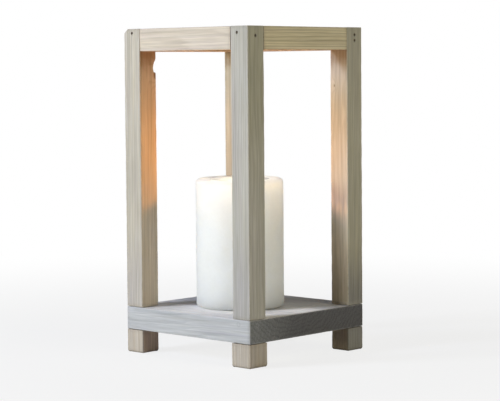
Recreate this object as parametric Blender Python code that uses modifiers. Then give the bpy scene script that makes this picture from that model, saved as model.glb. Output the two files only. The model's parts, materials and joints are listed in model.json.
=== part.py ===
"""Open wooden candle lantern: four square posts on a plank, four top rails, four feet and a loose pillar candle.

Metres, +Z up. The origin is on the ground, under the middle of the plank. -Y is the front and +X the right-hand side.
Every post, foot and rail is flush with the plank's edges. The brads pin the rails, the long screws hold the corners.
"""

import math

import bmesh
import bpy
from mathutils import Matrix, Vector

# Frame
BASE_X = 0.135
BASE_Y = 0.132
BASE_THICKNESS = 0.0183
STOCK = 0.018
FOOT_HEIGHT = 0.018
WIDE_FOOT = 0.0196
POST_LENGTH = 0.2201
RAIL_DEPTH = 0.018
RAIL_WIDTH = 0.018
ARRIS = 0.0007
FOOT_ARRIS = 0.0018
JOINT_GAP = 0.0003

# Brads: drop is measured down from the top, inset in from the neighbouring outer face
BRAD_LENGTH = 0.038
BRAD_DIAMETER = 0.0012
BRAD_HEAD_DIAMETER = 0.002
BRAD_HEAD_THICKNESS = 0.0008
BRAD_POINT = 0.002
BRAD_SUNK = 0.0006
FASTENER_CLEARANCE = 0.0002
HOLE_MOUTH = 0.004

# Corner screws, driven up through the feet
SCREW_LENGTH = 0.06
SCREW_DIAMETER = 0.004
SCREW_HEAD_DIAMETER = 0.008
SCREW_HEAD_HEIGHT = 0.0028
SCREW_HEAD_RIM = 0.0004
SCREW_POINT = 0.006
SCREW_SUNK = 0.0012
RECESS_SPAN = 0.0044
RECESS_SLOT = 0.0011
RECESS_DEPTH = 0.0018

# Damage on the front left post: a lost knot on its inner edge, and a knocked-off top corner
CHIP_DROP = 0.0293
CHIP_HEIGHT = 0.0112
CHIP_REACH = 0.004
KNOCK_DOWN = 0.0042
KNOCK_IN = 0.0034

# Candle
CANDLE_DIAMETER = 0.07
CANDLE_HEIGHT = 0.102
CANDLE_X = 0.0015
CANDLE_Y = -0.007
SHOULDER_RADIUS = 0.003
HEEL_RADIUS = 0.0012
RIM_WIDTH = 0.006
POOL_DEPTH = 0.0035
POOL_STEPS = 6
WICK_DIAMETER = 0.002
WICK_STANDS = 0.0095
WICK_LEAN = 0.0028
WICK_STEPS = 6
TAB_DIAMETER = 0.02
TAB_THICKNESS = 0.0005
TAB_NECK_DIAMETER = 0.0052
TAB_NECK_HEIGHT = 0.0045
TAB_RECESSED = 0.0004

# Where the levels and faces come, from the sizes above
BASE_BOTTOM = FOOT_HEIGHT + JOINT_GAP
DECK = BASE_BOTTOM + BASE_THICKNESS
POST_BOTTOM = DECK + JOINT_GAP
TOP = POST_BOTTOM + POST_LENGTH
CANDLE_BOTTOM = DECK + JOINT_GAP
CORNER_X = BASE_X / 2 - STOCK / 2
CORNER_Y = BASE_Y / 2 - STOCK / 2
CORNERS = {
    "front_left": (-CORNER_X, -CORNER_Y),
    "front_right": (CORNER_X, -CORNER_Y),
    "back_right": (CORNER_X, CORNER_Y),
    "back_left": (-CORNER_X, CORNER_Y),
}


def clear_scene():
    for obj in list(bpy.data.objects):
        bpy.data.objects.remove(obj)


def new_collection(name):
    collection = bpy.data.collections.new(name)
    bpy.context.scene.collection.children.link(collection)
    return collection


def new_material(name, color, roughness, metallic=0.0):
    material = bpy.data.materials.new(name)
    material.use_nodes = True
    shader = material.node_tree.nodes["Principled BSDF"]
    shader.inputs["Base Color"].default_value = (*color, 1.0)
    shader.inputs["Roughness"].default_value = roughness
    shader.inputs["Metallic"].default_value = metallic
    return material


def add_object(name, data, collection, material=None, matrix=None):
    obj = bpy.data.objects.new(name, data)
    collection.objects.link(obj)
    if material:
        data.materials.append(material)
    if matrix:
        obj.matrix_world = matrix
    return obj


def box_mesh(name, size):
    """A box centred on its own origin."""
    mesh = bpy.data.meshes.new(name)
    bm = bmesh.new()
    bmesh.ops.create_cube(bm, size=1.0)
    bmesh.ops.scale(bm, vec=Vector(size), verts=bm.verts)
    bm.to_mesh(mesh)
    bm.free()
    return mesh


def ease_edges(obj, width, segments=2):
    bevel = obj.modifiers.new("eased_edges", "BEVEL")
    bevel.width = width
    bevel.segments = segments
    bevel.limit_method = "WEIGHT"


def weigh_edges(mesh, weight_of):
    """Each edge's share of the bevel width, from a function of the edge's middle."""
    weights = mesh.attributes.new("bevel_weight_edge", "FLOAT", "EDGE")
    for edge in mesh.edges:
        middle = (mesh.vertices[edge.vertices[0]].co + mesh.vertices[edge.vertices[1]].co) / 2
        weights.data[edge.index].value = weight_of(middle)


def sawn_piece(name, size, middle, material, collection, weight_of=lambda middle: 1.0, width=ARRIS):
    mesh = box_mesh(name, size)
    weigh_edges(mesh, weight_of)
    obj = add_object(name, mesh, collection, material, Matrix.Translation(middle))
    ease_edges(obj, width)
    return obj


def turned(name, profile, steps, collection, material=None, matrix=None, closed=False):
    """A shape turned about its own Z. The profile's points are (radius, height), down its outer side."""
    mesh = bpy.data.meshes.new(name)
    bm = bmesh.new()
    points = [bm.verts.new((radius, 0.0, height)) for radius, height in profile]
    for first, second in zip(points, points[1:]):
        bm.edges.new((first, second))
    if closed:
        bm.edges.new((points[-1], points[0]))
    bm.to_mesh(mesh)
    bm.free()
    obj = add_object(name, mesh, collection, material, matrix)
    screw = obj.modifiers.new("turned", "SCREW")
    screw.axis = "Z"
    screw.angle = 2 * math.pi
    screw.steps = steps
    screw.render_steps = steps
    screw.use_merge_vertices = True
    screw.merge_threshold = 0.00001
    screw.use_smooth_shade = True
    return obj


def cut(obj, cutter):
    boolean = obj.modifiers.new("cut_" + cutter.name, "BOOLEAN")
    boolean.operation = "DIFFERENCE"
    boolean.solver = "EXACT"
    boolean.object = cutter


def as_cutter(obj):
    obj.hide_render = True
    obj.display_type = "WIRE"
    return obj


def arc(centre_radius, centre_height, size, start, end, steps):
    """Points on a round of a turned profile, from one angle to another in degrees, 0 pointing outwards."""
    points = []
    for step in range(steps + 1):
        angle = math.radians(start + (end - start) * step / steps)
        points.append((centre_radius + size * math.cos(angle), centre_height + size * math.sin(angle)))
    return points


def headed_profile(length, shank, head, rim, underside, point, grow=0.0, mouth=0.0):
    """A nail or screw along +Z with its head's face at 0. grow widens it and mouth lengthens its head, for its hole."""
    return [
        (0.0, length + grow),
        (shank / 2 + grow, length - point + grow),
        (shank / 2 + grow, underside + grow),
        (head / 2 + grow, rim + grow),
        (head / 2 + grow, -mouth),
        (0.0, -mouth),
    ]


def brad_profile(point=BRAD_POINT, **hole):
    thickness = BRAD_HEAD_THICKNESS
    return headed_profile(BRAD_LENGTH, BRAD_DIAMETER, BRAD_HEAD_DIAMETER, thickness, thickness, point, **hole)


def screw_profile(point=SCREW_POINT, **hole):
    sizes = (SCREW_LENGTH, SCREW_DIAMETER, SCREW_HEAD_DIAMETER, SCREW_HEAD_RIM, SCREW_HEAD_HEIGHT)
    return headed_profile(*sizes, point, **hole)


def along(point, direction):
    """A matrix that puts a turned piece's origin at the point, with its Z in the direction."""
    turn = Vector((0.0, 0.0, 1.0)).rotation_difference(Vector(direction)).to_matrix().to_4x4()
    return Matrix.Translation(point) @ turn


def make_base(parts, material):
    middle = Vector((0.0, 0.0, BASE_BOTTOM + BASE_THICKNESS / 2))
    return sawn_piece("base_board", (BASE_X, BASE_Y, BASE_THICKNESS), middle, material, parts)


def make_feet(parts, material):
    """Short blocks of the post stock, with their lower edges rounded over more than the rest.

    The front right one is cut from wider stock, and is still flush with the plank's outer faces.
    """

    def weight_of(middle):
        return 1.0 if middle.z < ARRIS - FOOT_HEIGHT / 2 else ARRIS / FOOT_ARRIS

    feet = {}
    for corner, (x, y) in CORNERS.items():
        side = WIDE_FOOT if corner == "front_right" else STOCK
        extra = (side - STOCK) / 2
        middle = Vector((x - math.copysign(extra, x), y - math.copysign(extra, y), FOOT_HEIGHT / 2))
        size = (side, side, FOOT_HEIGHT)
        feet[corner] = sawn_piece("foot_" + corner, size, middle, material, parts, weight_of, FOOT_ARRIS)
    return feet


def make_posts(parts, material):
    posts = {}
    for corner, (x, y) in CORNERS.items():
        middle = Vector((x, y, POST_BOTTOM + POST_LENGTH / 2))
        posts[corner] = sawn_piece("post_" + corner, (STOCK, STOCK, POST_LENGTH), middle, material, parts)
    return posts


def make_rails(parts, material):
    """The rails fill the gaps between the posts, level with the posts' tops and outer faces."""
    length_x = BASE_X - 2 * (STOCK + JOINT_GAP)
    length_y = BASE_Y - 2 * (STOCK + JOINT_GAP)
    out_x = BASE_X / 2 - RAIL_WIDTH / 2
    out_y = BASE_Y / 2 - RAIL_WIDTH / 2
    height = TOP - RAIL_DEPTH / 2
    rails = {}
    for side, size, x, y in (
        ("front", (length_x, RAIL_WIDTH, RAIL_DEPTH), 0.0, -out_y),
        ("back", (length_x, RAIL_WIDTH, RAIL_DEPTH), 0.0, out_y),
        ("left", (RAIL_WIDTH, length_y, RAIL_DEPTH), -out_x, 0.0),
        ("right", (RAIL_WIDTH, length_y, RAIL_DEPTH), out_x, 0.0),
    ):
        rails[side] = sawn_piece("rail_" + side, size, Vector((x, y, height)), material, parts)
    return rails


def damage_post(post, cutters):
    """The front left post has lost a knot from its inner edge, and its outer top corner is knocked off."""
    edge_x = -BASE_X / 2 + STOCK
    edge_y = -BASE_Y / 2 + STOCK
    chip_mesh = bpy.data.meshes.new("chip")
    bm = bmesh.new()
    bmesh.ops.create_uvsphere(bm, u_segments=20, v_segments=14, radius=1.0)
    bmesh.ops.scale(bm, vec=Vector((CHIP_REACH, CHIP_REACH, CHIP_HEIGHT / 2)), verts=bm.verts)
    bm.to_mesh(chip_mesh)
    bm.free()
    place = Matrix.Translation((edge_x, edge_y, TOP - CHIP_DROP))
    cut(post, as_cutter(add_object("cutter_chip", chip_mesh, cutters, matrix=place)))

    corner = Vector((-BASE_X / 2, -BASE_Y / 2, TOP))
    outward = Vector((-1.0, -1.0, 0.0)).normalized()
    normal = (outward * KNOCK_DOWN + Vector((0.0, 0.0, KNOCK_IN))).normalized()
    depth = (outward * KNOCK_IN).dot(normal)
    block = 2 * STOCK
    place = along(corner + normal * (block / 2 - depth), normal)
    knock_mesh = box_mesh("knock", (block, block, block))
    cut(post, as_cutter(add_object("cutter_knock", knock_mesh, cutters, matrix=place)))


def brad_places():
    """Name, post, rail, head point and direction of each brad. Each pins a rail's end through the next post."""
    rows = (
        ("front_left", "front_left", "front", 0.0075, 0.009),
        ("front_right", "front_right", "front", 0.0074, 0.0086),
        ("right_front", "front_right", "right", 0.005, 0.0111),
        ("right_back", "back_right", "right", 0.00815, 0.009),
        ("back_right_upper", "back_right", "back", 0.006, 0.0089),
        ("back_right_lower", "back_right", "back", 0.0103, 0.0089),
        ("back_left", "back_left", "back", 0.0075, 0.009),
        ("left_front", "front_left", "left", 0.0035, 0.0094),
        ("left_back", "back_left", "left", 0.005, 0.009),
    )
    for name, corner, side, drop, inset in rows:
        sign_x = math.copysign(1.0, CORNERS[corner][0])
        sign_y = math.copysign(1.0, CORNERS[corner][1])
        if side in ("front", "back"):
            point = (sign_x * (BASE_X / 2 - BRAD_SUNK), sign_y * (BASE_Y / 2 - inset), TOP - drop)
            direction = (-sign_x, 0.0, 0.0)
        else:
            point = (sign_x * (BASE_X / 2 - inset), sign_y * (BASE_Y / 2 - BRAD_SUNK), TOP - drop)
            direction = (0.0, -sign_y, 0.0)
        yield "brad_" + name, corner, side, Vector(point), direction


def make_brads(posts, rails, parts, cutters, material):
    for name, corner, side, point, direction in brad_places():
        place = along(point, direction)
        turned(name, brad_profile(), 14, parts, material, place)
        profile = brad_profile(point=0.0, grow=FASTENER_CLEARANCE, mouth=HOLE_MOUTH)
        hole = as_cutter(turned("cutter_" + name, profile, 14, cutters, matrix=place))
        cut(posts[corner], hole)
        cut(rails[side], hole)


def make_screws(feet, base, posts, parts, cutters, material):
    """A screw runs up each corner, through foot and plank and into the post's end grain."""
    for corner, (x, y) in CORNERS.items():
        place = Matrix.Translation((x, y, SCREW_SUNK))
        screw = turned("screw_" + corner, screw_profile(), 20, parts, material, place)
        for turn in (0.0, math.pi / 2):
            mesh = box_mesh("slot", (RECESS_SPAN, RECESS_SLOT, 2 * RECESS_DEPTH))
            name = "cutter_recess_{}_{}".format(corner, "a" if turn == 0.0 else "b")
            slot = add_object(name, mesh, cutters, matrix=place @ Matrix.Rotation(turn, 4, "Z"))
            cut(screw, as_cutter(slot))
        profile = screw_profile(point=0.0, grow=FASTENER_CLEARANCE, mouth=HOLE_MOUTH)
        hole = as_cutter(turned("cutter_screw_" + corner, profile, 20, cutters, matrix=place))
        for piece in (feet[corner], base, posts[corner]):
            cut(piece, hole)


def make_wax(parts, material):
    """The pillar: a rounded shoulder, a shallow melt pool, a wick hole and a seat for the wick's tab below."""
    radius = CANDLE_DIAMETER / 2
    hole = WICK_DIAMETER / 2 + FASTENER_CLEARANCE
    neck = TAB_NECK_DIAMETER / 2 + FASTENER_CLEARANCE
    neck_top = TAB_RECESSED + TAB_THICKNESS + TAB_NECK_HEIGHT + JOINT_GAP
    seat = TAB_DIAMETER / 2 + FASTENER_CLEARANCE
    seat_top = TAB_RECESSED + TAB_THICKNESS + JOINT_GAP
    pool = radius - RIM_WIDTH
    profile = arc(radius - SHOULDER_RADIUS, CANDLE_HEIGHT - SHOULDER_RADIUS, SHOULDER_RADIUS, 90, 0, 5)
    profile += arc(radius - HEEL_RADIUS, HEEL_RADIUS, HEEL_RADIUS, 0, -90, 3)
    profile += [(seat, 0.0), (seat, seat_top), (neck, seat_top), (neck, neck_top), (hole, neck_top)]
    for step in range(POOL_STEPS + 1):
        share = step / POOL_STEPS
        height = CANDLE_HEIGHT - POOL_DEPTH * (1 + math.cos(math.pi * share)) / 2
        profile.append((hole + (pool - hole) * share, height))
    place = Matrix.Translation((CANDLE_X, CANDLE_Y, CANDLE_BOTTOM))
    return turned("candle_wax", profile, 64, parts, material, place, closed=True)


def make_tab(parts, material):
    """The tin tab that the wick stands in: a disc with a short neck, bored for the wick."""
    bore = WICK_DIAMETER / 2 + FASTENER_CLEARANCE
    profile = [
        (TAB_NECK_DIAMETER / 2, TAB_THICKNESS + TAB_NECK_HEIGHT),
        (TAB_NECK_DIAMETER / 2, TAB_THICKNESS),
        (TAB_DIAMETER / 2, TAB_THICKNESS),
        (TAB_DIAMETER / 2, 0.0),
        (bore, 0.0),
        (bore, TAB_THICKNESS + TAB_NECK_HEIGHT),
    ]
    place = Matrix.Translation((CANDLE_X, CANDLE_Y, CANDLE_BOTTOM + TAB_RECESSED))
    turned("wick_tab", profile, 32, parts, material, place, closed=True)


def make_wick(parts, material):
    """A braided cord, straight through the wax, that bends over above the pool."""
    curve = bpy.data.curves.new("wick", "CURVE")
    curve.dimensions = "3D"
    curve.bevel_depth = WICK_DIAMETER / 2
    curve.bevel_resolution = 2
    curve.use_fill_caps = True
    pool = CANDLE_HEIGHT - POOL_DEPTH
    points = [(0.0, TAB_RECESSED), (0.0, pool)]
    for step in range(1, WICK_STEPS + 1):
        share = step / WICK_STEPS
        points.append((WICK_LEAN * share**2, pool + WICK_STANDS * math.sin(share * math.pi / 2)))
    spline = curve.splines.new("POLY")
    spline.points.add(len(points) - 1)
    for place, (x, z) in zip(spline.points, points):
        place.co = (x, 0.0, z, 1.0)
    add_object("wick", curve, parts, material, Matrix.Translation((CANDLE_X, CANDLE_Y, CANDLE_BOTTOM)))


def shade(collection):
    for obj in collection.objects:
        if obj.type == "MESH" and not obj.name.startswith(("base", "foot", "post", "rail")):
            obj.data.shade_smooth()


def main():
    clear_scene()
    parts = new_collection("candle_lantern")
    cutters = new_collection("cutters")
    cutters.hide_render = True
    pale_wood = new_material("pale_wood", (0.52, 0.48, 0.42), 0.72)
    rail_wood = new_material("rail_wood", (0.62, 0.54, 0.43), 0.7)
    grey_wood = new_material("grey_wood", (0.36, 0.37, 0.39), 0.75)
    foot_wood = new_material("foot_wood", (0.48, 0.42, 0.37), 0.75)
    brad_steel = new_material("brad_steel", (0.12, 0.11, 0.1), 0.5, 0.9)
    screw_steel = new_material("screw_steel", (0.6, 0.56, 0.42), 0.35, 1.0)
    wax = new_material("wax", (0.88, 0.86, 0.8), 0.45)
    cotton = new_material("wick_cotton", (0.05, 0.045, 0.04), 0.9)
    tin = new_material("tin", (0.65, 0.65, 0.66), 0.35, 1.0)

    base = make_base(parts, grey_wood)
    feet = make_feet(parts, foot_wood)
    posts = make_posts(parts, pale_wood)
    rails = make_rails(parts, rail_wood)
    damage_post(posts["front_left"], cutters)
    make_brads(posts, rails, parts, cutters, brad_steel)
    make_screws(feet, base, posts, parts, cutters, screw_steel)
    make_wax(parts, wax)
    make_tab(parts, tin)
    make_wick(parts, cotton)
    shade(parts)


main()
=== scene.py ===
"""Open wooden candle lantern, dressed for rendering: weathered softwood, steel brads and a lit candle."""

import json
import math

import bmesh
import bpy
from bpy.props import FloatProperty, FloatVectorProperty, IntProperty, PointerProperty
from mathutils import Matrix, Vector, noise

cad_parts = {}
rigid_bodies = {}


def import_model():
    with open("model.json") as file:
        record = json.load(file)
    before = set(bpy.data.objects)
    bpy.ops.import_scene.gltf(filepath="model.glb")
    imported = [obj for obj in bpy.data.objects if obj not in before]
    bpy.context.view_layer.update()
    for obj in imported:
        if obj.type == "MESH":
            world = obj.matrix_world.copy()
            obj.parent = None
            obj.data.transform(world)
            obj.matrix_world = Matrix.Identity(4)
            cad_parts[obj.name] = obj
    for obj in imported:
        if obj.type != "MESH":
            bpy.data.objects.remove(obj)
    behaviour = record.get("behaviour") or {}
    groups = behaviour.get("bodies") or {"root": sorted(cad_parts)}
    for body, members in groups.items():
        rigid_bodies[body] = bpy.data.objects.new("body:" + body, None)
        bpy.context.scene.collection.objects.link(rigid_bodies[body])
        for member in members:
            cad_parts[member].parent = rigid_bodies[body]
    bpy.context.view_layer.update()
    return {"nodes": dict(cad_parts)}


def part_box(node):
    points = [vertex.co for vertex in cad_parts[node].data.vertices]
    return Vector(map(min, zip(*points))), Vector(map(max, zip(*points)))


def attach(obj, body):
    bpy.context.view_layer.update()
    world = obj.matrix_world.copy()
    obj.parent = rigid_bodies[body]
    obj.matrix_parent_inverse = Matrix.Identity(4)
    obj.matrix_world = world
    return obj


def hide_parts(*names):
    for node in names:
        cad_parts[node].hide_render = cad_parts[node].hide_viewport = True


bl_info = {
    "name": "Wooden candle lantern",
    "version": (1, 0, 0),
    "blender": (4, 5, 0),
    "location": "3D View > Sidebar > Lantern",
    "description": "Builds the lantern's timber, candle, wick and metal finishes round its packed model",
    "category": "Object",
}

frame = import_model()

CORNERS = ("front_left", "front_right", "back_right", "back_left")
SIDES = ("front", "back", "left", "right")
BRADS = tuple(sorted(name for name in frame["nodes"] if name.startswith("brad_")))
SCREWS = tuple("screw_" + corner for corner in CORNERS)
AXES = {"X": 0, "Y": 1, "Z": 2}
WHITE = (1.0, 1.0, 1.0)
RIGHT, FORWARD, UP = (1.0, 0.0, 0.0), (0.0, -1.0, 0.0), (0.0, 0.0, 1.0)

# What a wood's own colour is multiplied by
WARM_STREAK, COOL_STREAK = (1.03, 1.0, 0.9), (0.98, 0.945, 1.02)
KNOT_WOOD, RUBBED_BARE, SEAM_DIRT = (0.38, 0.26, 0.18), (1.16, 1.16, 1.16), (0.55, 0.52, 0.5)
LATE_END, SAW_MARK = (0.82, 0.82, 0.84), (1.45, 1.45, 1.4)
# Heat browning with the flame's glow painted in as orange, and painted shade under the rails
FLAME_BROWN_AND_GLOW, UNDER_RAIL_SHADE = (0.8, 0.62, 0.4), (0.66, 0.54, 0.42)
# The second and third are painted shade: warm and yellow tints for the sides away from the window lights
SPLASHED, PAINTED_SHADE_WARMTH, PAINTED_SHADE_YELLOW = (0.91, 0.915, 0.99), (1.05, 0.97, 0.86), (0.87, 0.87, 0.76)
# Painted light: shade low on a post's forward face, and a band of warm light above it
PAINTED_LOW_SHADE, PAINTED_GLOW_BAND = (0.74, 0.64, 0.52), (1.34, 1.22, 1.06)
# The first is painted shade on the side away from the window lights; the second darkens and blues wood low
# down
PAINTED_SIDE_SHADE, LOW_SIDE_DARKENING = (0.9, 0.88, 0.82), (0.64, 0.67, 0.8)
# The first pales a sawn end towards the front; the second is painted light where the window lights fall on
# the plank's top
END_PALER_TO_FRONT, PAINTED_KEY_LIGHT = (1.6975, 1.75, 1.645), (1.86, 1.8135, 1.7205)
# Painted shade on the feet's inner faces, under the plank
UNDER_PLANK_SHADE = (1.06, 0.88, 0.72)

# Colours that cover the wood's own
IRON_STAIN, KNOT_RING = (0.12, 0.12, 0.125), (0.30, 0.31, 0.33)

# How a Mapping node turns each grain direction onto its own Z, and what it makes of a point
TURN_TO_Z = {"X": (0.0, -math.pi / 2, 0.0), "Y": (math.pi / 2, 0.0, 0.0), "Z": (0.0, 0.0, 0.0)}
TURNED = {
    "X": lambda p: Vector((-p.z, p.y, p.x)),
    "Y": lambda p: Vector((p.x, -p.z, p.y)),
    "Z": lambda p: Vector(p),
}


def box_of(node):
    low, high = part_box(node)
    return low, high, (low + high) / 2


WICK_TIP = Vector((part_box("wick")[1].x - 0.0012, box_of("wick")[2].y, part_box("wick")[1].z))
FLAME = WICK_TIP + Vector((0.0, 0.0, 0.011))
UNDER_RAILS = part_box("rail_front")[0].z
FIT = 0.0002  # the room left round a fastener or the tab, and how far a stick closes up to its neighbour

# ---------------------------------------------------------------- settings


def shade(label, text, default):
    return FloatVectorProperty(
        name=label, description=text, subtype="COLOR", size=3, min=0, max=1, default=default
    )


def length(label, text, default):
    return FloatProperty(name=label, description=text, unit="LENGTH", min=0, precision=5, default=default)


def share(label, text, default):
    return FloatProperty(name=label, description=text, subtype="FACTOR", min=0, max=1, default=default)


def power(label, text, default):
    return FloatProperty(name=label, description=text, unit="POWER", min=0, default=default)


def timber_settings(name, text, pale, dark, end, ring, sway, wash, arris, relief, **more):
    """The settings of one kind of wooden piece, which differ only in their defaults."""
    settings = {
        "pale": shade("Earlywood", "Colour of the soft wood between the rings", pale),
        "dark": shade("Latewood", "Colour of the hard line of each ring", dark),
        "end": shade("End grain", "Colour of the sawn ends", end),
        "ring": length("Ring spacing", "Distance from one growth ring to the next", ring),
        "sway": length("Sway", "How far the grain wanders from straight", sway),
        "wash": share("Weathering", "How grey the surface has gone", wash),
        "arris": length("Arris", "Width of the rounded edges", arris),
        "relief": length("Relief", "Depth of the worn grain", relief),
        **more,
    }
    return type(name, (bpy.types.PropertyGroup,), {"__doc__": text, "__annotations__": settings})


PostSettings = timber_settings(
    "PostSettings", "The four upright posts",
    pale=(0.553, 0.513, 0.43), dark=(0.43, 0.395, 0.325), end=(0.40, 0.34, 0.26),
    ring=0.0019, sway=0.0016, wash=0.35, arris=0.0005, relief=0.00018,
)
RailSettings = timber_settings(
    "RailSettings", "The four top rails",
    pale=(0.73, 0.64, 0.485), dark=(0.52, 0.44, 0.32), end=(0.45, 0.37, 0.28),
    ring=0.0024, sway=0.0010, wash=0.12, arris=0.0005, relief=0.00018,
)
PlankSettings = timber_settings(
    "PlankSettings", "The plank that everything stands on",
    pale=(0.555, 0.558, 0.582), dark=(0.457, 0.464, 0.498), end=(0.165, 0.165, 0.182),
    ring=0.0034, sway=0.0030, wash=0.6, arris=0.0006, relief=0.00028,
)
FootSettings = timber_settings(
    "FootSettings", "The four feet",
    pale=(0.57, 0.50, 0.43), dark=(0.455, 0.38, 0.315), end=(0.32, 0.26, 0.20),
    ring=0.0021, sway=0.0012, wash=0.25, arris=0.0007, relief=0.0002,
    heel=length("Worn heel", "Width of the rounding round the bottom", 0.0018),
)


class CandleSettings(bpy.types.PropertyGroup):
    """The pillar candle and its wick"""

    wax: shade("Wax", "Colour of the wax", (0.905, 0.912, 0.922))
    soot: shade("Soot", "Colour of the burnt wick", (0.012, 0.011, 0.01))
    cotton: shade("Cotton", "Colour of the clean wick", (0.78, 0.72, 0.6))
    shoulder: length("Shoulder", "Rounding of the top edge", 0.0034)
    heel: length("Heel", "Rounding of the bottom edge", 0.0024)
    rim: length("Rim", "Width of the wax left standing round the pool", 0.006)
    pool: length("Pool", "Depth of the melted pool", 0.0038)
    slump: length("Slump", "How far the softened rim sags in places", 0.0004)
    lean: length("Lean", "How much lower the rim has melted on the near side", 0.0009)


class MetalSettings(bpy.types.PropertyGroup):
    """The brads, the corner screws and the wick's tab"""

    brad: shade("Brad steel", "Colour of the brads", (0.11, 0.11, 0.115))
    zinc: shade("Screw plating", "Colour of the plated screws", (0.62, 0.55, 0.36))
    tin: shade("Tin", "Colour of the wick's tab", (0.66, 0.66, 0.65))
    rust: shade("Rust", "Colour of the rust on the steel", (0.11, 0.085, 0.065))


class StageSettings(bpy.types.PropertyGroup):
    """Floor, lights and camera"""

    lens: FloatProperty(name="Lens", description="Focal length", unit="CAMERA", min=10, default=128.2)
    reach: length("Distance", "Camera's distance from the middle of the lantern", 1.4161)
    height: length("Height", "Camera's height over the floor", 0.2244)
    side: FloatProperty(
        name="Side",
        description="Camera's bearing from the front",
        subtype="ANGLE",
        default=math.radians(43.554),
    )
    key: power("Key", "Power of the two window lights in front", 20.0)
    fill: power("Fill", "Power of the soft light from the right", 20.0)
    rear: power("Rear", "Power of the dim light from behind", 5.0)
    glow: power("Glow", "Power of the flame's light on the wood", 0.32)
    wax_glow: power("Wax glow", "Power of the flame's light on the wax", 0.06)
    floor: shade("Floor", "Colour of the floor", (0.86, 0.855, 0.845))
    world: shade("Surroundings", "Colour of the light from all round", (0.05, 0.05, 0.05))
    turns: IntProperty(name="Turned steps", description="Steps round the candle", min=24, max=192, default=96)


class LanternSettings(bpy.types.PropertyGroup):
    """All of the lantern's settings"""

    post: PointerProperty(type=PostSettings, name="Posts", description="The four upright posts")
    rail: PointerProperty(type=RailSettings, name="Rails", description="The four top rails")
    plank: PointerProperty(type=PlankSettings, name="Plank", description="The plank under everything")
    foot: PointerProperty(type=FootSettings, name="Feet", description="The four feet")
    candle: PointerProperty(type=CandleSettings, name="Candle", description="The pillar candle and its wick")
    metal: PointerProperty(type=MetalSettings, name="Metal", description="Brads, screws and tab")
    stage: PointerProperty(type=StageSettings, name="Stage", description="Floor, lights and camera")


# ---------------------------------------------------------------- node trees


class Wiring:
    """Adds nodes to one tree and links them, so that a formula reads in order."""

    def __init__(self, tree):
        self.tree = tree

    def node(self, kind, inputs=None, **settings):
        made = self.tree.nodes.new("ShaderNode" + kind)
        for key, value in settings.items():
            setattr(made, key, value)
        for key, value in (inputs or {}).items():
            self.feed(made.inputs[key], value)
        return made

    def feed(self, socket, value):
        if isinstance(value, bpy.types.NodeSocket):
            self.tree.links.new(value, socket)
        else:
            socket.default_value = value

    def math(self, operation, first, second=0.0, third=0.0):
        return self.node("Math", {0: first, 1: second, 2: third}, operation=operation).outputs[0]

    def times(self, first, second):
        return self.math("MULTIPLY", first, second)

    def vector(self, operation, first, second=None, scale=None):
        inputs = {0: first}
        if second is not None:
            inputs[1] = second
        if scale is not None:
            inputs["Scale"] = scale
        made = self.node("VectorMath", inputs, operation=operation)
        return made.outputs["Value" if operation in ("LENGTH", "DOT_PRODUCT", "DISTANCE") else "Vector"]

    def stretched(self, vector, factors):
        return self.vector("MULTIPLY", vector, factors)

    def part(self, vector, axis):
        return self.node("SeparateXYZ", {0: vector}).outputs[AXES[axis]]

    def ramp(self, value, low, high, start=0.0, stop=1.0, kind="SMOOTHSTEP"):
        inputs = {"Value": value, "From Min": low, "From Max": high, "To Min": start, "To Max": stop}
        return self.node("MapRange", inputs, interpolation_type=kind).outputs["Result"]

    def mix(self, factor, first, second, blend="MIX"):
        inputs = {0: factor, 6: opaque(first), 7: opaque(second)}
        return self.node("Mix", inputs, data_type="RGBA", blend_type=blend, clamp_factor=True).outputs[2]

    def tint(self, factor, colour, tint):
        """The colour, multiplied by the tint as far as the factor says."""
        return self.mix(factor, colour, self.mix(1.0, colour, tint, "MULTIPLY"))

    def noise(self, vector, scale, detail=2.0, rough=0.5, output="Fac"):
        inputs = {"Vector": vector, "Scale": scale, "Detail": detail, "Roughness": rough}
        return self.node("TexNoise", inputs).outputs[output]

    def coordinates(self, kind="Object"):
        return self.node("TexCoord").outputs[kind]

    def facing(self, way, low=0.5, high=0.9, least=0.0):
        """1 where the surface looks the way given, and least where it looks elsewhere."""
        return self.ramp(self.vector("DOT_PRODUCT", self.coordinates("Normal"), way), low, high, least, 1.0)

    def show(self, shader):
        """Makes this shader the material's surface."""
        self.feed(self.tree.nodes["Material Output"].inputs["Surface"], shader.outputs[0])

    def bump(self, height, strength, distance):
        inputs = {"Height": height, "Strength": strength, "Distance": distance}
        return self.node("Bump", inputs).outputs[0]


def opaque(colour):
    """A colour with its alpha added, or the socket that was given."""
    if isinstance(colour, bpy.types.NodeSocket):
        return colour
    return (*colour[:3], 1.0)


def new_group(name, inputs, outputs):
    """A new group's wiring, and its two ends to link. An input is given as its default or its kind."""
    tree = bpy.data.node_groups.new(name, "ShaderNodeTree")
    for label, value in inputs.items():
        kind = value if isinstance(value, str) else "Float" if isinstance(value, float) else "Vector"
        socket = tree.interface.new_socket(name=label, in_out="INPUT", socket_type="NodeSocket" + kind)
        if value != kind:
            socket.default_value = value
    for label, kind in outputs.items():
        tree.interface.new_socket(name=label, in_out="OUTPUT", socket_type="NodeSocket" + kind)
    source = tree.nodes.new("NodeGroupInput").outputs
    sink = tree.nodes.new("NodeGroupOutput").inputs
    return Wiring(tree), source, sink


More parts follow.
